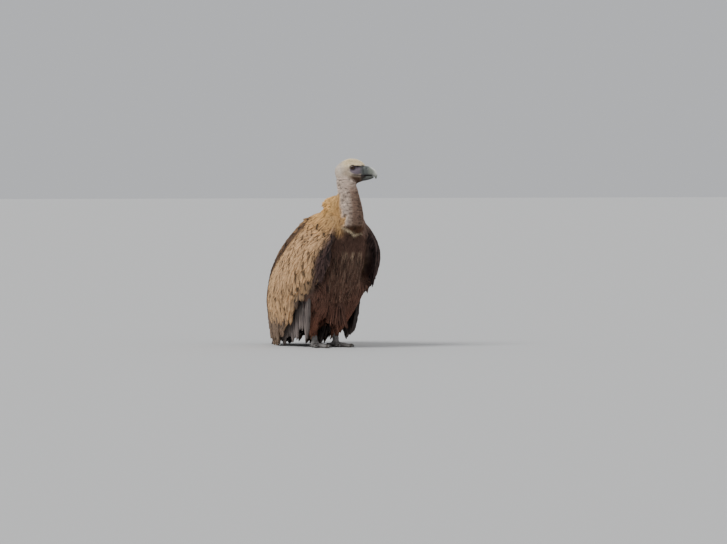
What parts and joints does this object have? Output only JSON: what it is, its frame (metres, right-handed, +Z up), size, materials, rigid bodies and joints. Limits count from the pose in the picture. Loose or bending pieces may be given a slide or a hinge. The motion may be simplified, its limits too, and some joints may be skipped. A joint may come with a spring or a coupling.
{
  "type": "griffon vulture",
  "caption": "Life-size standing griffon vulture with drooped folded wings, pale downy neck, tan ruff and head turned to its left; a still model.",
  "frame": {"origin": "on the floor under the middle of the bounding box", "axes": "+Z up, the bird faces -Y, its left side is +X"},
  "size_m": [0.3406, 0.5545, 0.6823],
  "materials": {
    "body_plumage": "matt rufous-brown lanceolate body feathers",
    "covert_plumage": "matt tan wing coverts and mantle",
    "flight_feathers": "blackish-brown quill feathers with a slight sheen",
    "head_down": "short creamy-white down",
    "ruff_plumage": "loose golden-tan ruff plumes",
    "bill_horn": "satin slate-grey horn, paler along the ridge",
    "leg_skin": "dry grey scaled skin",
    "claw_horn": "dark polished horn",
    "eye_glass": "wet dark brown eye"
  },
  "bodies": {
    "root": {"trunk": "body_plumage", "back": "covert_plumage", "neck": "head_down", "ruff": "ruff_plumage", "head": "head_down", "bill_upper": "bill_horn", "bill_lower": "bill_horn", "tail": "flight_feathers", "eye_right": "eye_glass", "wing_coverts_right": "covert_plumage", "wing_secondaries_right": "flight_feathers", "wing_primaries_right": "flight_feathers", "thigh_right": "body_plumage", "tarsus_right": "leg_skin", "foot_right": "leg_skin", "claw_inner_right": "claw_horn", "claw_middle_right": "claw_horn", "claw_outer_right": "claw_horn", "claw_hind_right": "claw_horn", "eye_left": "eye_glass", "wing_coverts_left": "covert_plumage", "wing_secondaries_left": "flight_feathers", "wing_primaries_left": "flight_feathers", "thigh_left": "body_plumage", "tarsus_left": "leg_skin", "foot_left": "leg_skin", "claw_inner_left": "claw_horn", "claw_middle_left": "claw_horn", "claw_outer_left": "claw_horn", "claw_hind_left": "claw_horn"}
  },
  "joints": []
}
